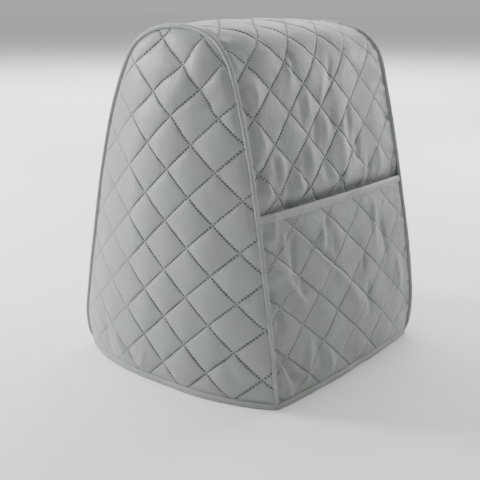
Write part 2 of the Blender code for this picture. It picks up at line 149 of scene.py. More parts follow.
# Folds: from one end to the other on the flat cloth, with half width and height
STRIP_FOLDS = (  # from_x, from_s, to_x, to_s, half_width, height
    (0.0245, 0.306, 0.0165, 0.233, 0.0090, 0.0030),
    (0.0435, 0.322, 0.0365, 0.290, 0.0050, -0.0028),
    (0.0545, 0.290, 0.0495, 0.259, 0.0055, -0.0024),
    (0.0245, 0.380, 0.0145, 0.359, 0.0040, -0.0020),
    (0.0055, 0.368, -0.0095, 0.339, 0.0060, 0.0020),
    (-0.0255, 0.315, -0.0325, 0.292, 0.0050, -0.0024),
    (-0.0075, 0.317, -0.0105, 0.294, 0.0055, 0.0022),
    (0.0065, 0.320, 0.0065, 0.299, 0.0040, -0.0018),
    (-0.0335, 0.344, -0.0375, 0.321, 0.0050, 0.0020),
    (-0.0505, 0.336, -0.0525, 0.318, 0.0045, -0.0018),
    (-0.0555, 0.380, -0.0615, 0.357, 0.0055, 0.0018),
    (-0.0495, 0.392, -0.0495, 0.375, 0.0045, -0.0020),
    (-0.1415, 0.363, -0.1445, 0.346, 0.0045, -0.0032),
    (-0.1385, 0.343, -0.1395, 0.334, 0.0040, -0.0022),
    (-0.1395, 0.322, -0.1425, 0.305, 0.0045, -0.0028),
    (-0.1195, 0.362, -0.1205, 0.345, 0.0060, 0.0022),
    (-0.1245, 0.314, -0.1245, 0.294, 0.0055, 0.0022),
    (-0.1415, 0.299, -0.1415, 0.284, 0.0045, -0.0022),
    (-0.1385, 0.268, -0.1415, 0.245, 0.0055, -0.0040),
    (-0.1265, 0.259, -0.1265, 0.243, 0.0050, 0.0034),
    (-0.1375, 0.239, -0.1415, 0.227, 0.0040, -0.0024),
    (-0.0935, 0.245, -0.0925, 0.224, 0.0055, -0.0034),
    (-0.0725, 0.256, -0.0715, 0.235, 0.0060, 0.0034),
    (-0.0585, 0.239, -0.0655, 0.227, 0.0040, -0.0022),
    (-0.1105, 0.278, -0.1115, 0.259, 0.0045, -0.0020),
    (-0.0985, 0.277, -0.0995, 0.256, 0.0050, 0.0022),
    (-0.0585, 0.277, -0.0605, 0.255, 0.0060, -0.0022),
    (-0.0455, 0.281, -0.0455, 0.261, 0.0060, 0.0022),
    (-0.0195, 0.259, -0.0205, 0.247, 0.0050, -0.0020),
    (-0.0055, 0.255, -0.0045, 0.240, 0.0050, 0.0018),
    (0.0085, 0.244, 0.0075, 0.231, 0.0045, -0.0022),
    (0.0755, 0.251, 0.0715, 0.225, 0.0055, -0.0030),
    (0.0625, 0.247, 0.0595, 0.229, 0.0050, 0.0022),
    (0.1325, 0.242, 0.1335, 0.227, 0.0040, -0.0022),
    (0.1025, 0.260, 0.0995, 0.238, 0.0070, 0.0024),
    (-0.060, 0.790, -0.030, 0.900, 0.014, -0.0022),
    (0.050, 0.760, 0.070, 0.870, 0.013, 0.0022),
    (-0.020, 0.620, 0.030, 0.700, 0.010, -0.0018),
)
POCKET_FOLDS = (  # from_x, from_s, to_x, to_s, half_width, height
    (-0.1015, 0.209, -0.0265, 0.140, 0.0035, -0.0026),
    (-0.0925, 0.198, -0.0255, 0.135, 0.0040, 0.0022),
    (-0.1385, 0.144, -0.1035, 0.105, 0.0080, -0.0034),
    (-0.1325, 0.154, -0.1155, 0.154, 0.0070, 0.0026),
    (-0.1145, 0.139, -0.0915, 0.112, 0.0040, 0.0022),
    (-0.0935, 0.136, -0.0925, 0.126, 0.0060, -0.0016),
    (-0.1415, 0.216, -0.1395, 0.206, 0.0040, -0.0022),
    (-0.1455, 0.190, -0.1460, 0.170, 0.0050, -0.0030),
    (-0.1455, 0.146, -0.1415, 0.134, 0.0050, -0.0034),
    (-0.1455, 0.131, -0.1445, 0.119, 0.0050, -0.0024),
    (-0.1345, 0.108, -0.1355, 0.093, 0.0060, -0.0028),
    (-0.1460, 0.083, -0.1455, 0.064, 0.0050, -0.0026),
    (-0.1235, 0.218, -0.1275, 0.197, 0.0040, 0.0018),
    (-0.1145, 0.194, -0.1165, 0.179, 0.0040, 0.0018),
    (-0.1005, 0.185, -0.1035, 0.161, 0.0050, -0.0028),
    (-0.0345, 0.198, -0.0375, 0.171, 0.0050, -0.0020),
    (-0.0465, 0.187, -0.0475, 0.170, 0.0050, 0.0020),
    (-0.0285, 0.183, -0.0265, 0.161, 0.0060, -0.0018),
    (-0.0175, 0.129, 0.0145, 0.085, 0.0100, 0.0022),
    (0.0375, 0.099, 0.0365, 0.070, 0.0060, -0.0018),
    (-0.0885, 0.064, -0.0965, 0.022, 0.0060, 0.0026),
    (-0.0725, 0.051, -0.0715, 0.031, 0.0060, -0.0020),
    (-0.0535, 0.040, -0.0505, 0.021, 0.0060, 0.0018),
    (-0.1455, 0.066, -0.1195, 0.031, 0.0050, -0.0036),
    (-0.1435, 0.056, -0.1265, 0.013, 0.0060, 0.0036),
    (-0.1215, 0.043, -0.1005, 0.027, 0.0040, 0.0024),
    (0.0815, 0.174, 0.0865, 0.134, 0.0060, -0.0022),
    (0.0675, 0.198, 0.0625, 0.153, 0.0060, 0.0018),
    (0.1135, 0.111, 0.1155, 0.080, 0.0060, 0.0018),
    (0.0325, 0.139, 0.0285, 0.125, 0.0040, -0.0018),
    (0.0000, 0.016, 0.0200, -0.004, 0.0120, -0.0020),
)
SIDE_FOLDS = (  # from_y, from_z, to_y, to_z, half_width, height
    (0.283, 0.215, 0.289, 0.185, 0.0060, -0.0026),
    (0.293, 0.165, 0.301, 0.125, 0.0060, -0.0030),
    (0.311, 0.105, 0.298, 0.122, 0.0040, 0.0018),
    (0.205, 0.385, 0.240, 0.335, 0.0090, 0.0016),
    (0.230, 0.040, 0.215, 0.010, 0.0060, 0.0016),
    (0.255, 0.050, 0.245, 0.012, 0.0060, -0.0016),
    (0.205, 0.034, 0.200, 0.012, 0.0050, -0.0014),
    (0.178, 0.030, 0.182, 0.010, 0.0050, 0.0014),
    (0.060, 0.060, 0.040, 0.030, 0.0080, -0.0016),
    (0.080, 0.345, 0.100, 0.330, 0.0060, -0.0014),
)

# How finely each sheet is cut: steps across one diamond
SIDE_NEAR_STEPS = 34
SIDE_FAR_STEPS = 18
STRIP_STEPS = 20
POCKET_STEPS = 30
LATTICE_SPAN = 14  # diamonds counted each way from a sheet's first crossing

# Bindings, stitches and needle holes
CLOTH_FLOOR = HEM_TALL + 0.0003
PIPE_STEP = 0.0030
PIPE_SUNK = 0.0040
PIPE_SIDES = 24
PIPE_GROOVE = 0.30
STITCH_SIDES = 4
STITCH_SHAPE = (  # along, lift, radius
    (-0.10, -0.0004, THREAD_RADIUS * 0.6),
    (0.08, 0.0001, THREAD_RADIUS),
    (0.50, 0.0003, THREAD_RADIUS * 1.15),
    (0.92, 0.0001, THREAD_RADIUS),
    (1.10, -0.0004, THREAD_RADIUS * 0.6),
)
HOLE_RADIUS = 0.0019
HOLE_DEPTH = 0.0007
GROOVE_HALF = 0.0024
GROOVE_DEPTH = 0.0003
WARP_PITCH = 0.00035
WEFT_PITCH = 0.0009
BIAS_PITCH = 0.0007
BIAS_TURN = 60.0  # how far the bias threads turn across the tape, in radians
WEAVE_HEIGHT = 0.000012
CREASE_HEIGHT = 0.0011
GATHER_HEIGHT = 0.0002
PIPE_STITCH_PITCH = 0.0030
HEM_STITCH_PITCH = 0.0034
HEM_STITCH_UP = 0.0049
HEM_STITCH_SUNK = 0.0004

# Where on each flat sheet the sewn lines begin and end to thin out
SIDE_THIN = (0.175, 0.225)
STRIP_THIN = (0.010, 0.090)
POCKET_THIN = (0.020, 0.110)
POCKET_CROSS = 0.5

# Colours, light and floor
PANEL_GREY = (0.275, 0.300, 0.287)
# The strip and pocket are the same satin as the side panels; their darker grey is painted shade on
# the front of the cover.
STRIP_SHADED_GREY = (0.245, 0.268, 0.250)
BINDING_GREY = (0.270, 0.290, 0.280)
THREAD_GREY = (0.38, 0.41, 0.395)
GREEN_CAST = (0.97, 1.03, 0.98)
MAUVE_CAST = (1.03, 0.98, 1.02)
FLOOR_TONES = ((0.93, 0.93, 0.93, 1), (0.96, 0.96, 0.96, 1))
BLOTCH_SHARE = 0.14
FLECK_SHARE = 0.12
# Painted shade: how far the grooves along the sewn lines are darkened in the cloth's colour
GROOVE_SHADE_SHARE = 0.30
# Painted shade: how far the needle holes are darkened in the cloth's colour
PANEL_HOLE_SHADE_SHARE = 0.85
STRIP_HOLE_SHADE_SHARE = 0.75
POCKET_HOLE_SHADE_SHARE = 0.70
THINNED_SHARE = 0.35
FLOOR_HALF = 30.0
WORLD_STRENGTH = 0.46
LIGHTS = (  # name, place, aimed_at, size, power
    ("back_left", (-0.80, 1.7, 0.9), (0.0, 0.0, 0.2), 0.6, 50.0),
    ("right", (1.9, -0.45, 0.7), (0.0, 0.0, 0.2), 1.0, 28.0),
    ("top", (-0.6, 0.2, 2.0), (0.0, 0.0, 0.2), 0.8, 8.0),
    ("backdrop_right", (3.2, 1.4, 2.4), (3.2, 1.4, 0.0), 3.0, 160.0),
    ("backdrop_left", (0.9, 3.4, 2.4), (0.9, 3.4, 0.0), 3.0, 160.0),
)

# Camera: fitted to the photograph
CAMERA_PLACE = (-0.8181, -0.6481, 0.4421)
CAMERA_PITCH = 16.2
CAMERA_HEADING = -50.9
CAMERA_LENS = 60.6


def smooth_curve(stations):
    """Evenly spaced points on a rounded curve through the stations."""
    points = np.array(stations)
    t = np.concatenate([[0], np.cumsum(np.linalg.norm(np.diff(points, axis=0), axis=1))])
    slopes = np.gradient(points, t, axis=0)
    dense = np.linspace(0, t[-1], SAMPLES * 2)
    k = np.clip(np.searchsorted(t, dense, side="right") - 1, 0, len(t) - 2)
    span = (t[k + 1] - t[k])[:, None]
    f = ((dense - t[k]) / span[:, 0])[:, None]
    curve = (
        points[k] * (2 * f**3 - 3 * f**2 + 1)
        + slopes[k] * span * (f**3 - 2 * f**2 + f)
        + points[k + 1] * (3 * f**2 - 2 * f**3)
        + slopes[k + 1] * span * (f**3 - f**2)
    )
    run = np.concatenate([[0], np.cumsum(np.linalg.norm(np.diff(curve, axis=0), axis=1))])
    even = np.linspace(0, run[-1], SAMPLES)
    curve = np.stack([np.interp(even, run, curve[:, c]) for c in (0, 1)], axis=1)
    for _ in range(SMOOTHING):
        curve[1:-1] = (curve[:-2] + 2 * curve[1:-1] + curve[2:]) / 4
    return curve


def curve_length(curve):
    return float(np.linalg.norm(np.diff(curve, axis=0), axis=1).sum())


NEAR_SEAM = smooth_curve([(row[0], row[1]) for row in ARCH])
FAR_SEAM = smooth_curve([(row[2], row[3]) for row in ARCH])
LENGTH = curve_length(NEAR_SEAM)


def fade(value, width):
    """0 at 0 and below, 1 at width and above, smooth between."""
    t = np.clip(value / width, 0, 1)
    return t * t * (3 - 2 * t)


def arch_at(x, s):
    """The strip's own line at x, a length s from the front hem: y, z and its outward normal."""
    rank = np.clip(s / LENGTH, 0, 1) * (SAMPLES - 1)
    places = np.arange(SAMPLES)
    far = np.clip(x / STRIP_WIDTH + 0.5, 0, 1)
    line = []
    slope = []
    for c in (0, 1):
        near_line = np.interp(rank, places, NEAR_SEAM[:, c])
        far_line = np.interp(rank, places, FAR_SEAM[:, c])
        near_slope = np.interp(rank, places, np.gradient(NEAR_SEAM[:, c]))
        far_slope = np.interp(rank, places, np.gradient(FAR_SEAM[:, c]))
        line.append(near_line * (1 - far) + far_line * far)
        slope.append(near_slope * (1 - far) + far_slope * far)
    size = np.hypot(slope[0], slope[1])
    return line[0] - CENTRE_Y, line[1], -slope[1] / size, slope[0] / size


def fold_height(folds, u, v):
    """Soft troughs and ridges, each round its own line and fading at both ends."""
    total = np.zeros(np.shape(u))
    for from_u, from_v, to_u, to_v, half_width, height in folds:
        run_u = to_u - from_u
        run_v = to_v - from_v
        length = math.hypot(run_u, run_v)
        along = ((u - from_u) * run_u + (v - from_v) * run_v) / length
        across = ((u - from_u) * run_v - (v - from_v) * run_u) / length
        ends = ((along - length / 2) / (length / 2 + half_width)) ** 4
        total = total + height * np.exp(-((across / half_width) ** 2) - ends)
    return total


def stray(quilt, u, v):
    """How far a place of the even net lies aside and up in the sewn cloth."""
    total = np.full(np.shape(u), 0.35)
    aside = np.zeros(np.shape(u))
    up = np.zeros(np.shape(u))
    for at_u, at_v, move_u, move_v in STRAYS[quilt]:
        near = np.exp(-((u - at_u) ** 2 + (v - at_v) ** 2) / STRAY_REACH**2)
        total = total + near
        aside = aside + near * move_u
        up = up + near * move_v
    return aside / total, up / total


def lattice_rank(quilt, u, v):
    """A place counted in diamonds along the two seam directions."""
    (start_u, start_v), (a_u, a_v), (b_u, b_v) = quilt
    even_u = u
    even_v = v
    for _ in range(4):
        aside, up = stray(quilt, even_u, even_v)
        even_u = u - aside
        even_v = v - up
    u = even_u
    v = even_v
    area = a_u * b_v - a_v * b_u
    a = ((u - start_u) * b_v - (v - start_v) * b_u) / area
    b = (a_u * (v - start_v) - a_v * (u - start_u)) / area
    return a, b


def uneven(i, j, seed):
    """A repeatable number from -1 to 1 for each diamond."""
    value = np.sin(i * 12.9898 + j * 78.233 + seed * 37.719) * 43758.5453
    return 2 * (value - np.floor(value)) - 1


def quilt_height(quilt, puff, u, v, seed, cross=1.0):
    """The puff of each diamond, none along its sewn sides, each a little different."""
    a, b = lattice_rank(quilt, u, v)
    i = np.floor(a)
    j = np.floor(b)
    a = a - i
    b = b - j
    rise_a = np.sqrt(np.clip(4 * a * (1 - a), 0, 1))
    rise_b = np.sqrt(np.clip(4 * b * (1 - b), 0, 1))
    dome = rise_a * (1 - cross * (1 - rise_b))
    tilt = 0.30 * uneven(i, j, seed) * (a - 0.5) + 0.30 * uneven(i, j, seed + 1) * (b - 0.5)
    size = 1 + 0.22 * uneven(i, j, seed + 2)
    return puff * dome * (size + tilt)


def pucker_height(quilt, u, v, height):
    """Small gathers across each sewn line, dying out a few millimetres from it."""
    (_, _), (a_u, a_v), (b_u, b_v) = quilt
    a, b = lattice_rank(quilt, u, v)
    area = abs(a_u * b_v - a_v * b_u)
    total = np.zeros(np.shape(u))
    for own, other, line in (
        (a, b, math.hypot(b_u, b_v)),
        (b, a, math.hypot(a_u, a_v)),
    ):
        away = np.abs(own - np.round(own)) * area / line
        run = other * line
        wave = np.sin(run / 0.0052 * 2 + np.round(own) * 2.1) * np.sin(run / 0.0171 + own * 0.7)
        total = total + wave * np.exp(-((away / 0.0050) ** 2)) * np.clip(away / 0.0010, 0, 1)
    return height * total


def drift(u, v, seed):
    """Slow unevenness of hand-sewn cloth, a few centimetres across."""
    return (
        np.sin(u * 61 + v * 23 + seed) * np.sin(v * 47 - u * 19 + seed * 2.3)
        + 0.6 * np.sin(u * 113 - v * 71 + seed * 1.7) * np.sin(v * 97 + seed)
    )


def strip_bow(x, s):
    out = np.interp(s / LENGTH, [row[0] for row in BOW], [row[1] for row in BOW])
    return out * (1 - np.abs(x / HALF) ** BULGE_POWER)


def set_back(x, s):
    """How far the strip lies behind the pocket, fading out above the pocket's mouth."""
    middle = 1 - np.abs(x / HALF) ** BULGE_POWER
    deep = SET_BACK_MIDDLE * middle * fade(s, POCKET_TOP / 2)
    return (SET_BACK_EDGE + deep) * (1 - fade(s - POCKET_TOP, SET_BACK_FADE))


def strip_point(x, s, out):
    """A point that stands out from the strip's line."""
    y, z, out_y, out_z = arch_at(x, s)
    out = out + strip_bow(x, s)
    level = fade(z, HEM_TALL * 4)
    return np.stack([x, y + out_y * out, z + out_z * out * level], axis=-1)


def seam_gather(x, s, seed):
    """Gathers that run in from the arched seams, where the strip is eased onto the side panels."""
    away = HALF - np.abs(x)
    wave = np.sin(s * 410 + seed) * 0.6 + np.sin(s * 263 + seed * 3 + x * 30) * 0.7
    return 0.0009 * wave * np.exp(-((away / 0.020) ** 2)) * fade(away - SEAM_INSET, 0.006)


def strip_outer(x, s):
    covered = 1 - fade(s - POCKET_TOP, SET_BACK_FADE * 0.6)
    edge = fade(HALF - np.abs(x) - SEAM_INSET, 0.009)
    thin = 1 - 0.55 * fade(x - STRIP_THIN[0], STRIP_THIN[1] - STRIP_THIN[0])
    puff = quilt_height(STRIP_QUILT, STRIP_PUFF, x, s, 3) * edge * (1 - 0.7 * covered) * thin
    small = pucker_height(STRIP_QUILT, x, s, 0.00028) * edge
    slow = 0.0006 * drift(x, s, 1) * edge * (1 - covered)
    folds = fold_height(STRIP_FOLDS, x, s) * edge * STRIP_FOLD_SHARE
    return strip_point(x, s, puff + small + slow + folds + seam_gather(x, s, 1) - set_back(x, s))


def strip_inner(x, s):
    edge = fade(HALF - np.abs(x), 0.012)
    folds = fold_height(STRIP_FOLDS, x, s) * edge * 0.8
    return strip_point(x, s, folds - set_back(x, s) - CLOTH)


def pocket_out(x, s):
    middle = 1 - np.abs(x / HALF) ** BULGE_POWER
    return POCKET_OUT * middle * fade(s, POCKET_TOP)


def pocket_outer(x, s):
    edge = fade(HALF - np.abs(x) - SEAM_INSET, 0.008)
    low = fade(s - HEM_TALL, 0.010) * fade(POCKET_TOP - BAND_TALL - s, 0.018)
    thin = 1 - 0.5 * fade(x - POCKET_THIN[0], POCKET_THIN[1] - POCKET_THIN[0])
    puff = quilt_height(POCKET_QUILT, POCKET_PUFF, x, s, 7, POCKET_CROSS) * edge * low * thin
    small = pucker_height(POCKET_QUILT, x, s, 0.00025) * edge * low
    slow = 0.0007 * drift(x, s, 5) * edge * low
    folds = fold_height(POCKET_FOLDS, x, s) * edge * fade(s, 0.012) * fade(POCKET_TOP - s, 0.016)
    return strip_point(x, s, pocket_out(x, s) + puff + small + slow + folds + seam_gather(x, s, 4))


def pocket_inner(x, s):
    edge = fade(HALF - np.abs(x), 0.012)
    folds = fold_height(POCKET_FOLDS, x, s) * edge * fade(s, 0.012) * 0.8
    return strip_point(x, s, pocket_out(x, s) + folds - POCKET_CLOTH)


def seam_line(side, s):
    """The arched seam's y and z on one side, -1 near or 1 far."""
    y, z, _, _ = arch_at(np.full(np.shape(s), side * HALF), s)
    return y, z


def seam_distance(side, y, z):
    """How far a place on a side panel lies inside its arched seam."""
    line_y, line_z = seam_line(side, np.linspace(0, LENGTH, 240))
    flat_y = np.ravel(y)
    flat_z = np.ravel(z)
    nearest = np.full(len(flat_y), np.inf)
    for ly, lz in zip(line_y, line_z):
        nearest = np.minimum(nearest, (flat_y - ly) ** 2 + (flat_z - lz) ** 2)
    return np.sqrt(nearest).reshape(np.shape(y))


def side_bulge(z, inside):
    height = SIDE_BULGE - SIDE_BULGE_LOSS * np.clip(z / 0.28, 0, 1.4)
    reach = np.clip(inside / BULGE_REACH, 0, 1)
    return height * (1 - (1 - reach) ** BULGE_POWER)


def side_outer(side, y, z):
    inside = seam_distance(side, y, z)
    edge = fade(inside - SEAM_INSET, 0.008) * fade(z - HEM_TALL, 0.010)
    taut = 1 - 0.7 * fade(y + CENTRE_Y - SIDE_THIN[0], SIDE_THIN[1] - SIDE_THIN[0])
    puff = quilt_height(SIDE_QUILT, SIDE_PUFF, y + CENTRE_Y, z, 11) * edge * taut
    small = pucker_height(SIDE_QUILT, y + CENTRE_Y, z, 0.00022) * edge * taut
    slow = 0.0004 * drift(y, z, 2) * edge
    folds = fold_height(SIDE_FOLDS, y + CENTRE_Y, z) * edge
    out = side_bulge(z, inside) + puff + small + slow + folds
    return np.stack([side * (HALF + out), y, z], axis=-1)


def side_inner(side, y, z):
    out = side_bulge(z, seam_distance(side, y, z)) - CLOTH
    return np.stack([side * (HALF + out), y, z], axis=-1)


def close_steps(count):
    """Steps across a diamond that are closer together next to its sewn sides."""
    t = np.linspace(0, 1, count + 1)
    return t - 0.10 * np.sin(math.tau * t)


def turn(a, b, p):
    return (b[0] - a[0]) * (p[1] - a[1]) - (b[1] - a[1]) * (p[0] - a[0])


def clipped(cell, outline):
    """The part of a cell inside a rounded outline that runs anticlockwise."""
    if turn(cell[0], cell[1], cell[2]) < 0:
        cell = cell[::-1]
    for k, a in enumerate(outline):
        b = outline[(k + 1) % len(outline)]
        sides = [turn(a, b, p) for p in cell]
        if min(sides) >= 0:
            continue
        kept = []
        for m, p in enumerate(cell):
            n = (m + 1) % len(cell)
            if sides[m] >= 0:
                kept.append(p)
            if (sides[m] >= 0) != (sides[n] >= 0):
                kept.append(p + (cell[n] - p) * sides[m] / (sides[m] - sides[n]))
        cell = kept
        if len(cell) < 3:
            return []
    return cell


def clear_inside(points, outline):
    """How far each point lies inside the outline's nearest side, negative outside."""
    corners = np.array(outline)
    ahead = np.roll(corners, -1, axis=0) - corners
    ahead = ahead / np.linalg.norm(ahead, axis=1)[:, None]
    least = np.full(len(points), np.inf)
    for corner, (go_u, go_v) in zip(corners, ahead):
        off = points - corner
        least = np.minimum(least, go_u * off[:, 1] - go_v * off[:, 0])
    return least


def flat_patch(points, columns, outline):
    """A flat patch of a lattice of points, in rows of columns, cut along the outline."""
    rows = len(points) // columns
    within = clear_inside(points, outline)
    corner = (np.arange(rows - 1)[:, None] * columns + np.arange(columns - 1)[None]).ravel()
    cells = np.stack([corner, corner + 1, corner + 1 + columns, corner + columns], axis=1)
    least = within[cells].min(axis=1)
    most = within[cells].max(axis=1)
    span = np.linalg.norm(points[cells[:, 0]] - points[cells[:, 2]], axis=1)
    whole = cells[least >= 0]
    cut = cells[(least < 0) & (most > -span)]
    a, b, c = (points[whole[0, k]] for k in (0, 1, 2))
    if turn(a, b, c) < 0:
        whole = whole[:, ::-1]
    patch = bmesh.new()
    made = {}
    for k in np.unique(whole):
        made[int(k)] = patch.verts.new((points[k][0], points[k][1], 0))
    for face in whole:
        patch.faces.new([made[int(k)] for k in face])
    rim = [made[int(k)] for k in np.unique(cut) if int(k) in made]
    for cell in cut:
        corners = clipped([points[k] for k in cell], outline)
        if corners:
            fresh = [patch.verts.new((p[0], p[1], 0)) for p in corners]
            rim.extend(fresh)
            patch.faces.new(fresh)
    bmesh.ops.remove_doubles(patch, verts=rim, dist=0.00004)
    patch.verts.index_update()
    follows = {}
    for edge in patch.edges:
        if edge.is_boundary:
            loop = edge.link_loops[0]
            follows[loop.vert.index] = loop.link_loop_next.vert.index
    ring = [next(iter(follows))]
    while follows[ring[-1]] != ring[0]:
        ring.append(follows[ring[-1]])
    places = np.array([v.co[:2] for v in patch.verts])
    faces = [[v.index for v in face.verts] for face in patch.faces]
    patch.free()
    return places, faces, ring


def lattice_points(quilt, shift, steps, outline):
    """The points of a fine net that runs along the quilting, over the outline's box."""
    (start_u, start_v), step_a, step_b = quilt
    start = np.array([start_u - shift, start_v])
    corners = np.array(outline)
    low = corners.min(axis=0)
    high = corners.max(axis=0)
    box = np.array([(u, v) for u in (low[0], high[0]) for v in (low[1], high[1])])
    a = np.array(step_a)
    b = np.array(step_b)
    ranks = np.linalg.solve(np.stack([a, b], axis=1), (box - start).T).T
    first = np.floor(ranks.min(axis=0)).astype(int)
    last = np.ceil(ranks.max(axis=0)).astype(int)
    along_a = np.unique(np.concatenate([i + steps for i in range(first[0], last[0])]).round(9))
    along_b = np.unique(np.concatenate([j + steps for j in range(first[1], last[1])]).round(9))
    net = start + along_a[:, None, None] * a + along_b[None, :, None] * b
    aside, up = stray(quilt, net[..., 0] + shift, net[..., 1])
    net = net + np.stack([aside, up], axis=-1)
    return net.reshape(-1, 2), len(along_b)


def grid_points(columns, rows):
    u, v = np.meshgrid(columns, rows)
    return np.stack([u.ravel(), v.ravel()], axis=1), len(columns)


def rim_places(points, rim, outline):
    """The rim from the place nearest the outline's start, with each point's length round it."""
    first = int(np.argmin(np.linalg.norm(points[rim] - np.array(outline)[0], axis=1)))
    rim = rim[first:] + rim[:first]
    loop = points[rim + rim[:1]]
    run = np.concatenate([[0], np.cumsum(np.linalg.norm(np.diff(loop, axis=0), axis=1))])
    return rim, run / run[-1]


def zipped(outer_rim, outer_run, inner_rim, inner_run, shift):
    """Triangles between the rims of a sheet's two faces."""
    faces = []
    i = 0
    j = 0
    while i < len(outer_rim) or j < len(inner_rim):
        near = outer_rim[i % len(outer_rim)]
        far = inner_rim[j % len(inner_rim)] + shift
        if j == len(inner_rim) or (i < len(outer_rim) and outer_run[i + 1] <= inner_run[j + 1]):
            i += 1
            faces.append([outer_rim[i % len(outer_rim)], near, far])
        else:
            j += 1
            faces.append([far, inner_rim[j % len(inner_rim)] + shift, near])
    return faces


def shell(name, outline, outer_net, inner_net, outer_point, inner_point, quilt, shift):
    """One sheet of cloth: its outer face with the quilting, its inner face and its rim."""
    outer, outer_faces, outer_rim = flat_patch(*outer_net, outline)
    inner, inner_faces, inner_rim = flat_patch(*inner_net, outline)
    outer_rim, outer_run = rim_places(outer, outer_rim, outline)
    inner_rim, inner_run = rim_places(inner, inner_rim, outline)
    points = np.concatenate(
        [outer_point(outer[:, 0], outer[:, 1]), inner_point(inner[:, 0], inner[:, 1])]
    )
    base = len(outer)
    faces = outer_faces + [[k + base for k in reversed(face)] for face in inner_faces]
    faces = faces + zipped(outer_rim, outer_run, inner_rim, inner_run, base)
    flat = np.concatenate([outer, inner])
    a, b = lattice_rank(quilt, flat[:, 0] + shift, flat[:, 1])
    return add_object(name, points, faces, flat, np.stack([a, b], axis=1))


def add_object(name, points, faces, flat=None, ranks=None):
    mesh = bpy.data.meshes.new(name)
    mesh.from_pydata([tuple(p) for p in points], [], faces)
    for title, places in (("flat", flat), ("quilt", ranks)):
        if places is not None:
            layer = mesh.uv_layers.new(name=title)
            corner = np.empty(len(mesh.loops), dtype=np.int32)
            mesh.loops.foreach_get("vertex_index", corner)
            layer.data.foreach_set("uv", places[corner].astype(np.float32).ravel())
    face_out(mesh)
    mesh.shade_smooth()
    piece = bpy.data.objects.new(name, mesh)
    bpy.context.collection.objects.link(piece)
    return piece


def face_out(mesh):
    """Turns every face over if the closed mesh is inside out."""
    build = bmesh.new()
    build.from_mesh(mesh)
    if build.calc_volume(signed=True) < 0:
        bmesh.ops.reverse_faces(build, faces=build.faces)
        build.to_mesh(mesh)
    build.free()


def arch_stops(side, longest, most_turn):
    """Lengths along a seam, closer together where it bends more."""
    s = np.linspace(0, LENGTH, SAMPLES)
    y, z = seam_line(side, s)
    heading = np.unwrap(np.arctan2(np.gradient(z), np.gradient(y)))
    measure = s / longest + np.abs(heading - heading[0]) / most_turn
    return np.interp(np.linspace(0, measure[-1], int(measure[-1]) + 2), measure, s)


def strip_outline(low, high):
    half = HALF - SEAM_INSET
    return [np.array(p) for p in ((-half, low), (half, low), (half, high), (-half, high))]


def side_outline(side):
    """The side panel's cut edge, inside the seam and above the hem, anticlockwise."""
    points = []
    for s in arch_stops(side, 0.012, math.radians(4)):
        y, z, out_y, out_z = arch_at(np.array(side * HALF), np.array(s))
        points.append(np.array([y - out_y * SEAM_INSET, z - out_z * SEAM_INSET]))
    cut = []
    for a, b in zip(points, points[1:]):
        if (a[1] < CLOTH_FLOOR) != (b[1] < CLOTH_FLOOR):
            cut.append(a + (b - a) * (CLOTH_FLOOR - a[1]) / (b[1] - a[1]))
        if b[1] >= CLOTH_FLOOR:
            cut.append(b)
    return cut[::-1]


def side_panel(side, name, count):
    outline = side_outline(side)
    low = np.min(outline, axis=0) - 0.002
    high = np.max(outline, axis=0) + 0.002
    return shell(
        name,
        outline,
        lattice_points(SIDE_QUILT, CENTRE_Y, close_steps(count)[:-1], outline),
        grid_points(np.linspace(low[0], high[0], 60), np.linspace(low[1], high[1], 80)),
        lambda y, z: side_outer(side, y, z),
        lambda y, z: side_inner(side, y, z),
        SIDE_QUILT,
        CENTRE_Y,
    )


def strip_panel(name, count):
    outline = strip_outline(CLOTH_FLOOR, LENGTH - CLOTH_FLOOR)
    columns = np.linspace(-HALF, HALF, 56)
    rows = np.linspace(0, LENGTH, 190)
    return shell(
        name,
        outline,
        lattice_points(STRIP_QUILT, 0, close_steps(count)[:-1], outline),
        grid_points(columns, rows),
        strip_outer,
        strip_inner,
        STRIP_QUILT,
        0,
    )


def pocket_panel(name, count):
    outline = strip_outline(CLOTH_FLOOR, POCKET_TOP - BAND_TALL * 0.6)
    return shell(
        name,
        outline,
        lattice_points(POCKET_QUILT, 0, close_steps(count)[:-1], outline),
        grid_points(np.linspace(-HALF, HALF, 56), np.linspace(0, POCKET_TOP, 44)),
        pocket_outer,
        pocket_inner,
        POCKET_QUILT,
        0,
    )


def swept(name, sections, closed):
    """A solid through sections that each hold the same number of points."""
    points = np.asarray(sections)
    count, sides, _ = points.shape
    step = np.linalg.norm(np.diff(points[:, 0], axis=0), axis=1)
    run = np.concatenate([[0], np.cumsum(step)])
    faces = []
    for k in range(count if closed else count - 1):
        here = k * sides
        there = (k + 1) % count * sides
        for m in range(sides):
            n = (m + 1) % sides
            faces.append([here + m, here + n, there + n, there + m])
    if not closed:
        faces.append(list(range(sides))[::-1])
        faces.append([(count - 1) * sides + m for m in range(sides)])
    across = np.tile(np.arange(sides) / sides, count)
    flat = np.stack([np.repeat(run, sides), across], axis=1)
    return add_object(name, points.reshape(-1, 3), faces, flat, flat)


def unit(vectors):
    return vectors / np.linalg.norm(vectors, axis=-1, keepdims=True)


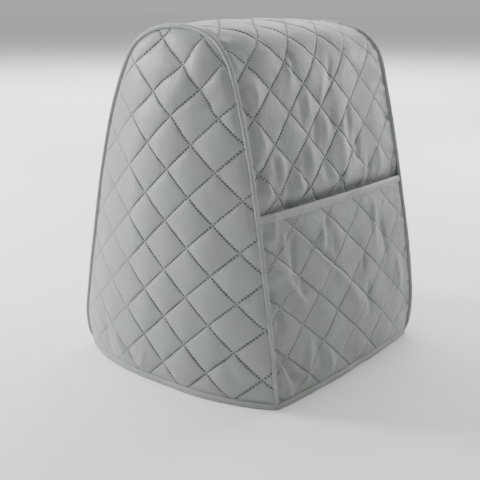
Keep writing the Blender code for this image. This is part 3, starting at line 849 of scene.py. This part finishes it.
def piping(side, name):
    """The bias binding over an arched seam, stitched along its middle."""
    stops = np.arange(PIPE_SUNK, LENGTH - PIPE_SUNK, PIPE_STEP)
    y, z, out_y, out_z = arch_at(np.full(len(stops), side * HALF), stops)
    level = fade(z, HEM_TALL * 4)
    low = 1 - fade(z - PIPE_SUNK, HEM_TALL * 2)
    stand = PIPE_OUT - 0.0016 * low
    swell = 1 + 0.05 * np.sin(stops * 290 + side) * np.sin(stops * 117) + 0.02 * np.sin(stops * 870)
    rings = []
    for k in range(PIPE_SIDES):
        angle = math.tau * k / PIPE_SIDES
        groove = math.exp(-(((angle - math.tau / 8) / 0.24) ** 2))
        radius = PIPE_RADIUS * swell * (1 - PIPE_GROOVE * groove) * (1 - 0.2 * low)
        out = stand + radius * math.cos(angle)
        across = side * (HALF + stand + radius * math.sin(angle))
        rings.append(np.stack([across, y + out_y * out, z + out_z * out * level], axis=-1))
    return swept(name, np.stack(rings, axis=1), False)


def band_stand(x, s):
    folds = fold_height(POCKET_FOLDS, x, s) * 0.5
    return pocket_out(x, s) + folds + 0.0005 * drift(x, s, 9)


def pocket_band(name):
    """The folded band along the pocket's mouth, stitched down near its lower edge."""
    profile = (  # along, out
        (0.0000, -0.0024),
        (-0.0002, 0.0006),
        (0.0006, 0.0013),
        (0.0014, 0.0009),
        (0.0022, 0.0014),
        (0.0045, 0.0018),
        (0.0070, 0.0016),
        (0.0086, 0.0011),
        (0.0094, 0.0002),
        (0.0095, -0.0012),
        (0.0090, -0.0024),
        (0.0070, -0.0031),
        (0.0020, -0.0031),
    )
    across = np.linspace(-HALF + SEAM_INSET, HALF - SEAM_INSET, 150)
    rings = []
    for along, out in profile:
        s = np.full(len(across), POCKET_TOP - BAND_TALL + along)
        rings.append(strip_point(across, s, band_stand(across, s) + out))
    return swept(name, np.stack(rings, axis=1), False)


def hem_path():
    """The hem's line on the floor, anticlockwise from the near front corner, with its mitres."""
    corner = 0.0012
    count = 130
    across = np.linspace(-HALF + corner, HALF - corner, count)
    waves = fold_height(POCKET_FOLDS, across, np.zeros(count)) * 0.6 + 0.0005 * drift(across, 0, 3)
    front = strip_point(across, np.zeros(count), waves)
    back = strip_point(across[::-1], np.full(count, LENGTH), 0.0006 * drift(across, 1, 2))
    loop = [front[:, :2]]
    for side, ends in ((1, (front[-1, 1], back[0, 1])), (-1, (back[-1, 1], front[0, 1]))):
        y = np.linspace(ends[0], ends[1], count)[1:-1]
        seam_y, _ = seam_line(side, np.array([0, LENGTH]))
        y = np.clip(y, seam_y[0] + corner, seam_y[1] - corner)
        inside = seam_distance(side, y, np.zeros(len(y)))
        x = side * (HALF + side_bulge(np.zeros(len(y)), inside) + 0.0004 * drift(y, 0, 6))
        loop.append(np.stack([x, y], axis=1))
        if side > 0:
            loop.append(back[:, :2])
    points = np.concatenate(loop)
    for _ in range(3):
        points = (np.roll(points, 1, axis=0) + 2 * points + np.roll(points, -1, axis=0)) / 4
    ahead = unit(np.roll(points, -1, axis=0) - points)
    sides = np.stack([ahead[:, 1], -ahead[:, 0]], axis=1)
    both = sides + np.roll(sides, 1, axis=0)
    mitre = both / np.maximum((both * sides).sum(axis=1), 0.75)[:, None]
    return points, mitre


def hem_band(name):
    """The folded binding round the lower edge, stitched along below its upper edge."""
    profile = (  # out, up
        (HEM_OUT - 0.0009, 0.0000),
        (HEM_OUT - 0.0002, 0.0007),
        (HEM_OUT, 0.0020),
        (HEM_OUT - 0.0001, 0.0036),
        (HEM_OUT - 0.0005, 0.0048),
        (HEM_OUT - 0.0003, 0.0057),
        (HEM_OUT - 0.0009, 0.0066),
        (HEM_OUT - 0.0022, HEM_TALL + 0.0003),
        (-HEM_IN + 0.0014, HEM_TALL + 0.0003),
        (-HEM_IN, HEM_TALL - 0.0014),
        (-HEM_IN, 0.0014),
        (-HEM_IN + 0.0007, 0.0000),
    )
    points, mitre = hem_path()
    rings = []
    for out, up in profile:
        place = points + mitre * out
        rings.append(np.column_stack([place, np.full(len(place), up)]))
    return swept(name, np.stack(rings, axis=1), True)


def stitched(name, ends, normals):
    """Threads lying between needle holes, each a small rounded rod bent down at both ends."""
    start = ends[:, 0]
    finish = ends[:, 1]
    ahead = unit(finish - start)
    across = unit(np.cross(normals, ahead))
    up = np.cross(ahead, across)
    points = []
    for place, lift, fat in STITCH_SHAPE:
        middle = start + (finish - start) * place + up * lift
        for k in range(STITCH_SIDES):
            angle = math.tau * k / STITCH_SIDES
            points.append(middle + (across * math.cos(angle) + up * math.sin(angle)) * fat)
    rings = np.stack(points, axis=1)
    count, each, _ = rings.shape
    template = []
    for r in range(len(STITCH_SHAPE) - 1):
        for k in range(STITCH_SIDES):
            n = (k + 1) % STITCH_SIDES
            low = r * STITCH_SIDES
            high = low + STITCH_SIDES
            template.append([low + k, low + n, high + n, high + k])
    faces = (np.arange(count)[:, None, None] * each + np.array(template)[None]).reshape(-1, 4)
    mesh = bpy.data.meshes.new(name)
    mesh.from_pydata(rings.reshape(-1, 3).tolist(), [], faces.tolist())
    mesh.shade_smooth()
    piece = bpy.data.objects.new(name, mesh)
    bpy.context.collection.objects.link(piece)
    return piece


def seam_stitches(quilt, shift, outline, surface):
    """The ends and the outward normals of the stitches along every sewn line of one sheet."""
    (start_u, start_v), step_a, step_b = quilt
    start = np.array([start_u - shift, start_v])
    a = np.array(step_a)
    b = np.array(step_b)
    corners = np.array(outline)
    middles = []
    halves = []
    for own, other in ((a, b), (b, a)):
        line = math.hypot(*other)
        count = int(round(line / STITCH_PITCH))
        run = (np.arange(-LATTICE_SPAN * count, LATTICE_SPAN * count) + 0.5) / count
        for k in range(-LATTICE_SPAN, LATTICE_SPAN + 1):
            places = start + own * k + run[:, None] * other
            aside, up = stray(quilt, places[:, 0] + shift, places[:, 1])
            places = places + np.stack([aside, up], axis=-1)
            inside = clear_inside(places, corners) > STITCH_PITCH * 0.6
            middles.append(places[inside])
            halves.append(np.tile(other / line * STITCH_LONG / 2, (int(inside.sum()), 1)))
    middle = np.concatenate(middles)
    half = np.concatenate(halves)
    ends = np.stack([surface(*(middle - half).T), surface(*(middle + half).T)], axis=1)
    nudge = 0.0004
    u, v = middle.T
    along_u = surface(u + nudge, v) - surface(u - nudge, v)
    along_v = surface(u, v + nudge) - surface(u, v - nudge)
    return ends, unit(np.cross(along_u, along_v))


def line_stitches(points, normals, pitch):
    """Stitches along one line of points on a binding."""
    run = np.concatenate([[0], np.cumsum(np.linalg.norm(np.diff(points, axis=0), axis=1))])
    middle = np.arange(pitch, run[-1] - pitch, pitch)
    long = pitch * STITCH_LONG / STITCH_PITCH
    low = np.stack([np.interp(middle - long / 2, run, points[:, c]) for c in range(3)], axis=1)
    high = np.stack([np.interp(middle + long / 2, run, points[:, c]) for c in range(3)], axis=1)
    out = np.stack([np.interp(middle, run, normals[:, c]) for c in range(3)], axis=1)
    return np.stack([low, high], axis=1), unit(out)


class Nodes:
    """Short calls that add nodes to one material."""

    def __init__(self, name):
        self.material = bpy.data.materials.new(name)
        self.material.use_nodes = True
        self.tree = self.material.node_tree
        self.shader = self.tree.nodes["Principled BSDF"]

    def put(self, value, socket):
        if hasattr(value, "is_output"):
            self.tree.links.new(value, socket)
        else:
            socket.default_value = value

    def add(self, kind, inputs=(), **settings):
        node = self.tree.nodes.new(kind)
        for key, value in settings.items():
            setattr(node, key, value)
        for key, value in dict(inputs).items():
            self.put(value, node.inputs[key])
        return node

    def math(self, operation, first, second=0.0):
        node = self.add("ShaderNodeMath", {0: first, 1: second}, operation=operation)
        return node.outputs[0]

    def times(self, first, second):
        return self.math("MULTIPLY", first, second)

    def plus(self, first, second):
        return self.math("ADD", first, second)

    def minus(self, first, second):
        return self.math("SUBTRACT", first, second)

    def set(self, **values):
        """Sets or links the shader's sockets, named with _ for a space."""
        for key, value in values.items():
            self.put(value, self.shader.inputs[key.replace("_", " ")])

    def smooth(self, value, low, high, to_low=0.0, to_high=1.0):
        """to_low at low, to_high at high, smooth between."""
        inputs = {"Value": value, "From Min": low, "From Max": high}
        inputs.update({"To Min": to_low, "To Max": to_high})
        node = self.add("ShaderNodeMapRange", inputs, interpolation_type="SMOOTHSTEP")
        return node.outputs["Result"]

    def noise(self, place, scale, detail=2.0):
        inputs = {"Vector": place, "Scale": scale, "Detail": detail}
        return self.add("ShaderNodeTexNoise", inputs).outputs["Fac"]

    def layer(self, name):
        return self.add("ShaderNodeUVMap", uv_map=name).outputs["UV"]

    def place(self):
        return self.add("ShaderNodeTexCoord").outputs["Object"]

    def split(self, vector):
        node = self.add("ShaderNodeSeparateXYZ", {"Vector": vector})
        return node.outputs["X"], node.outputs["Y"]

    def mixed(self, amount, first, second):
        node = self.add("ShaderNodeMix", data_type="RGBA")
        self.put(amount, node.inputs["Factor"])
        self.put(first, node.inputs["A"])
        self.put(second, node.inputs["B"])
        return node.outputs["Result"]

    def bump(self, height):
        inputs = {"Height": height, "Strength": 1.0, "Distance": 1.0}
        return self.add("ShaderNodeBump", inputs).outputs["Normal"]


def shade(colour, amount):
    """A lighter or darker tone of a colour."""
    return (*(min(1.0, c * amount) for c in colour), 1.0)


def off_nearest(nodes, value):
    """How far a value is from the nearest whole number."""
    part = nodes.math("FRACT", nodes.plus(value, 0.5))
    return nodes.math("ABSOLUTE", nodes.minus(part, 0.5))


def hole_masks(nodes, quilt, strength, cross):
    """1 in the needle holes of the diamond quilting, and 1 along its sewn lines."""
    (_, _), (a_u, a_v), (b_u, b_v) = quilt
    area = abs(a_u * b_v - a_v * b_u)
    a, b = nodes.split(nodes.layer("quilt"))
    holes = 0.0
    lines = 0.0
    for own, other, line, share in (
        (a, b, math.hypot(b_u, b_v), 1.0),
        (b, a, math.hypot(a_u, a_v), cross),
    ):
        count = int(round(line / STITCH_PITCH))
        away = nodes.times(off_nearest(nodes, own), area / line)
        step = nodes.times(off_nearest(nodes, nodes.times(other, count)), line / count)
        squares = nodes.plus(nodes.math("POWER", away, 2), nodes.math("POWER", step, 2))
        far = nodes.math("SQRT", squares)
        hole = nodes.smooth(far, HOLE_RADIUS * 0.35, HOLE_RADIUS, share, 0.0)
        holes = nodes.math("MAXIMUM", holes, hole)
        lines = nodes.math("MAXIMUM", lines, nodes.smooth(away, 0.0, GROOVE_HALF, share, 0.0))
    return nodes.times(holes, strength), nodes.times(lines, strength)


def weave_height(nodes):
    """A fine satin weave: long floats along the cloth and small steps across it."""
    u, v = nodes.split(nodes.layer("flat"))
    warp = nodes.math("SINE", nodes.times(u, math.tau / WARP_PITCH))
    slant = nodes.times(u, math.tau / WARP_PITCH * 0.4)
    weft = nodes.math("SINE", nodes.plus(nodes.times(v, math.tau / WEFT_PITCH), slant))
    return nodes.times(nodes.plus(warp, nodes.times(weft, 0.6)), WEAVE_HEIGHT)


def quilted_cloth(name, colour, quilt, hole_shade_share, thin, shift=0.0, cross=1.0):
    """Satin polyester with stitched diamonds, soft blotches and small creases, with painted shade in
    its needle holes and along its sewn lines.
    """
    nodes = Nodes(name)
    place = nodes.place()
    u, _ = nodes.split(nodes.layer("flat"))
    strength = nodes.smooth(u, thin[0] - shift, thin[1] - shift, 1.0, THINNED_SHARE)
    holes, lines = hole_masks(nodes, quilt, strength, cross)
    blotch = nodes.smooth(nodes.noise(place, 14.0, 3.0), 0.35, 0.65)
    fleck = nodes.noise(place, 900.0, 1.0)
    tint = nodes.smooth(nodes.noise(place, 22.0, 2.0), 0.4, 0.6)
    green = tuple(c * g for c, g in zip(colour, GREEN_CAST))
    mauve = tuple(c * g for c, g in zip(colour, MAUVE_CAST))
    base = nodes.mixed(tint, shade(green, 1.0), shade(mauve, 1.0))
    base = nodes.mixed(nodes.times(blotch, BLOTCH_SHARE), base, shade(colour, 0.5))
    base = nodes.mixed(nodes.times(fleck, FLECK_SHARE), base, shade(colour, 0.72))
    # painted shade along the grooves of the sewn lines
    base = nodes.mixed(nodes.times(lines, GROOVE_SHADE_SHARE), base, shade(colour, 0.5))
    # painted shade in the needle holes
    base = nodes.mixed(nodes.times(holes, hole_shade_share), base, shade(colour, 0.22))
    creases = nodes.times(nodes.noise(place, 70.0, 4.0), CREASE_HEIGHT)
    height = nodes.plus(creases, weave_height(nodes))
    height = nodes.minus(height, nodes.times(holes, HOLE_DEPTH))
    height = nodes.minus(height, nodes.times(lines, GROOVE_DEPTH))
    nodes.set(
        Base_Color=base,
        Roughness=nodes.smooth(nodes.noise(place, 30.0), 0.3, 0.7, 0.44, 0.56),
        Normal=nodes.bump(height),
        Sheen_Weight=0.25,
        Sheen_Roughness=0.45,
        Specular_IOR_Level=0.42,
    )
    return nodes.material


def binding_cloth(name, colour):
    """Plain satin bias binding: fine slanted threads and small gathers."""
    nodes = Nodes(name)
    place = nodes.place()
    run, around = nodes.split(nodes.layer("flat"))
    slant = nodes.plus(nodes.times(run, math.tau / BIAS_PITCH), nodes.times(around, BIAS_TURN))
    threads = nodes.times(nodes.math("SINE", slant), WEAVE_HEIGHT * 1.5)
    gathers = nodes.times(nodes.noise(place, 240.0, 2.0), GATHER_HEIGHT)
    tone = nodes.noise(place, 45.0, 2.0)
    base = nodes.mixed(nodes.smooth(tone, 0.35, 0.65), shade(colour, 0.93), shade(colour, 1.07))
    nodes.set(
        Base_Color=base,
        Roughness=nodes.smooth(tone, 0.3, 0.7, 0.46, 0.56),
        Normal=nodes.bump(nodes.plus(threads, gathers)),
        Sheen_Weight=0.2,
        Specular_IOR_Level=0.4,
    )
    return nodes.material


def thread_cloth(name, colour):
    """Twisted polyester sewing thread, a little lighter than the cloth."""
    nodes = Nodes(name)
    place = nodes.place()
    tone = nodes.noise(place, 1500.0, 1.0)
    base = nodes.mixed(tone, shade(colour, 0.85), shade(colour, 1.2))
    nodes.set(
        Base_Color=base,
        Roughness=nodes.smooth(tone, 0.3, 0.7, 0.45, 0.6),
        Normal=nodes.bump(nodes.times(tone, 0.00004)),
        Sheen_Weight=0.15,
    )
    return nodes.material


def floor_paint():
    """Matt, nearly white paint."""
    nodes = Nodes("floor_paint")
    tone = nodes.noise(nodes.place(), 3.0, 2.0)
    nodes.set(Base_Color=nodes.mixed(tone, *FLOOR_TONES), Roughness=0.9)
    return nodes.material


def dress(piece, material):
    """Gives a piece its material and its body."""
    piece.data.materials.append(material)
    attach(piece, "root")


def make_floor():
    mesh = bpy.data.meshes.new("floor")
    half = FLOOR_HALF
    corners = [(-half, -half, 0), (half, -half, 0), (half, half, 0), (-half, half, 0)]
    mesh.from_pydata(corners, [], [(0, 1, 2, 3)])
    floor = bpy.data.objects.new("floor", mesh)
    bpy.context.collection.objects.link(floor)
    mesh.materials.append(floor_paint())


def area_light(name, place, target, size, power):
    data = bpy.data.lights.new(name, "AREA")
    data.shape = "DISK"
    data.size = size
    data.energy = power
    light = bpy.data.objects.new(name, data)
    light.location = place
    light.rotation_euler = (Vector(target) - Vector(place)).to_track_quat("-Z", "Y").to_euler()
    bpy.context.collection.objects.link(light)


def make_lights():
    for name, place, aimed_at, size, power in LIGHTS:
        area_light(name, place, aimed_at, size, power)
    world = bpy.data.worlds.new("studio")
    world.use_nodes = True
    background = world.node_tree.nodes["Background"]
    background.inputs["Color"].default_value = (1, 1, 1, 1)
    background.inputs["Strength"].default_value = WORLD_STRENGTH
    bpy.context.scene.world = world


def make_camera():
    data = bpy.data.cameras.new("photo_camera")
    data.lens = CAMERA_LENS
    camera = bpy.data.objects.new("photo_camera", data)
    camera.location = CAMERA_PLACE
    camera.rotation_euler = (math.radians(90 - CAMERA_PITCH), 0, math.radians(CAMERA_HEADING))
    bpy.context.collection.objects.link(camera)
    bpy.context.scene.camera = camera


def make_side(side, name, node, count, cloth, thread):
    panel = side_panel(side, name, count)
    dress(panel, cloth)
    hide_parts(node)
    outline = side_outline(side)
    ends, normals = seam_stitches(
        SIDE_QUILT, CENTRE_Y, outline, lambda y, z: side_outer(side, y, z)
    )
    threads = stitched(name + "_stitches", ends, normals * side)
    dress(threads, thread)


def make_strip(cloth, thread):
    strip = strip_panel("strip_sheet", STRIP_STEPS)
    dress(strip, cloth)
    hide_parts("strip")
    outline = strip_outline(POCKET_TOP, LENGTH - CLOTH_FLOOR)
    threads = stitched("strip_stitches", *seam_stitches(STRIP_QUILT, 0, outline, strip_outer))
    dress(threads, thread)


def make_pocket(cloth, thread):
    pocket = pocket_panel("pocket_sheet", POCKET_STEPS)
    dress(pocket, cloth)
    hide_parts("pocket")
    outline = strip_outline(CLOTH_FLOOR, POCKET_TOP - BAND_TALL)
    threads = stitched("pocket_stitches", *seam_stitches(POCKET_QUILT, 0, outline, pocket_outer))
    dress(threads, thread)


def piping_stitches(side, name):
    """The stitches in the groove of one piping."""
    stops = np.arange(CLOTH_FLOOR, LENGTH - CLOTH_FLOOR, 0.002)
    edge = np.full(len(stops), side * HALF)
    y, z, out_y, out_z = arch_at(edge, stops)
    level = fade(z, HEM_TALL * 4)
    diagonal = math.sqrt(0.5)
    out = PIPE_OUT + PIPE_RADIUS * (1 - PIPE_GROOVE) * diagonal
    line = np.stack([edge + side * out, y + out_y * out, z + out_z * out * level], axis=1)
    normals = np.stack([np.full(len(stops), side * 1.0), out_y, out_z], axis=1)
    return stitched(name, *line_stitches(line, unit(normals), PIPE_STITCH_PITCH))


def hem_stitches(name):
    points, mitre = hem_path()
    place = points + mitre * (HEM_OUT - HEM_STITCH_SUNK)
    line = np.column_stack([place, np.full(len(place), HEM_STITCH_UP)])
    normals = unit(np.column_stack([mitre, np.full(len(place), 0.2)]))
    return stitched(name, *line_stitches(line, normals, HEM_STITCH_PITCH))


def make_bindings(cloth, thread):
    near = piping(-1, "piping_near_band")
    far = piping(1, "piping_far_band")
    hem = hem_band("hem_band")
    for piece, node in ((near, "piping_near"), (far, "piping_far"), (hem, "hem_binding")):
        dress(piece, cloth)
        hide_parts(node)
    threads = [
        piping_stitches(-1, "piping_near_stitches"),
        piping_stitches(1, "piping_far_stitches"),
        hem_stitches("hem_stitches"),
    ]
    for piece in threads:
        dress(piece, thread)
    return [near, far, hem, *threads]


def make_band(cloth):
    band = pocket_band("pocket_mouth_band")
    dress(band, cloth)
    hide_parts("pocket_binding")
    return band


def main():
    panel = quilted_cloth(
        "panel_satin", PANEL_GREY, SIDE_QUILT, PANEL_HOLE_SHADE_SHARE, SIDE_THIN, CENTRE_Y
    )
    strip = quilted_cloth(
        "strip_satin", STRIP_SHADED_GREY, STRIP_QUILT, STRIP_HOLE_SHADE_SHARE, STRIP_THIN
    )
    pocket = quilted_cloth(
        "pocket_satin", STRIP_SHADED_GREY, POCKET_QUILT, POCKET_HOLE_SHADE_SHARE, POCKET_THIN, cross=POCKET_CROSS
    )
    binding = binding_cloth("binding_satin", BINDING_GREY)
    thread = thread_cloth("thread", THREAD_GREY)
    make_side(-1, "side_near_sheet", "side_panel_near", SIDE_NEAR_STEPS, panel, thread)
    make_side(1, "side_far_sheet", "side_panel_far", SIDE_FAR_STEPS, panel, thread)
    bindings = make_bindings(binding, thread)
    band = make_band(binding)
    make_strip(strip, thread)
    make_pocket(pocket, thread)
    make_floor()
    make_lights()
    make_camera()


main()
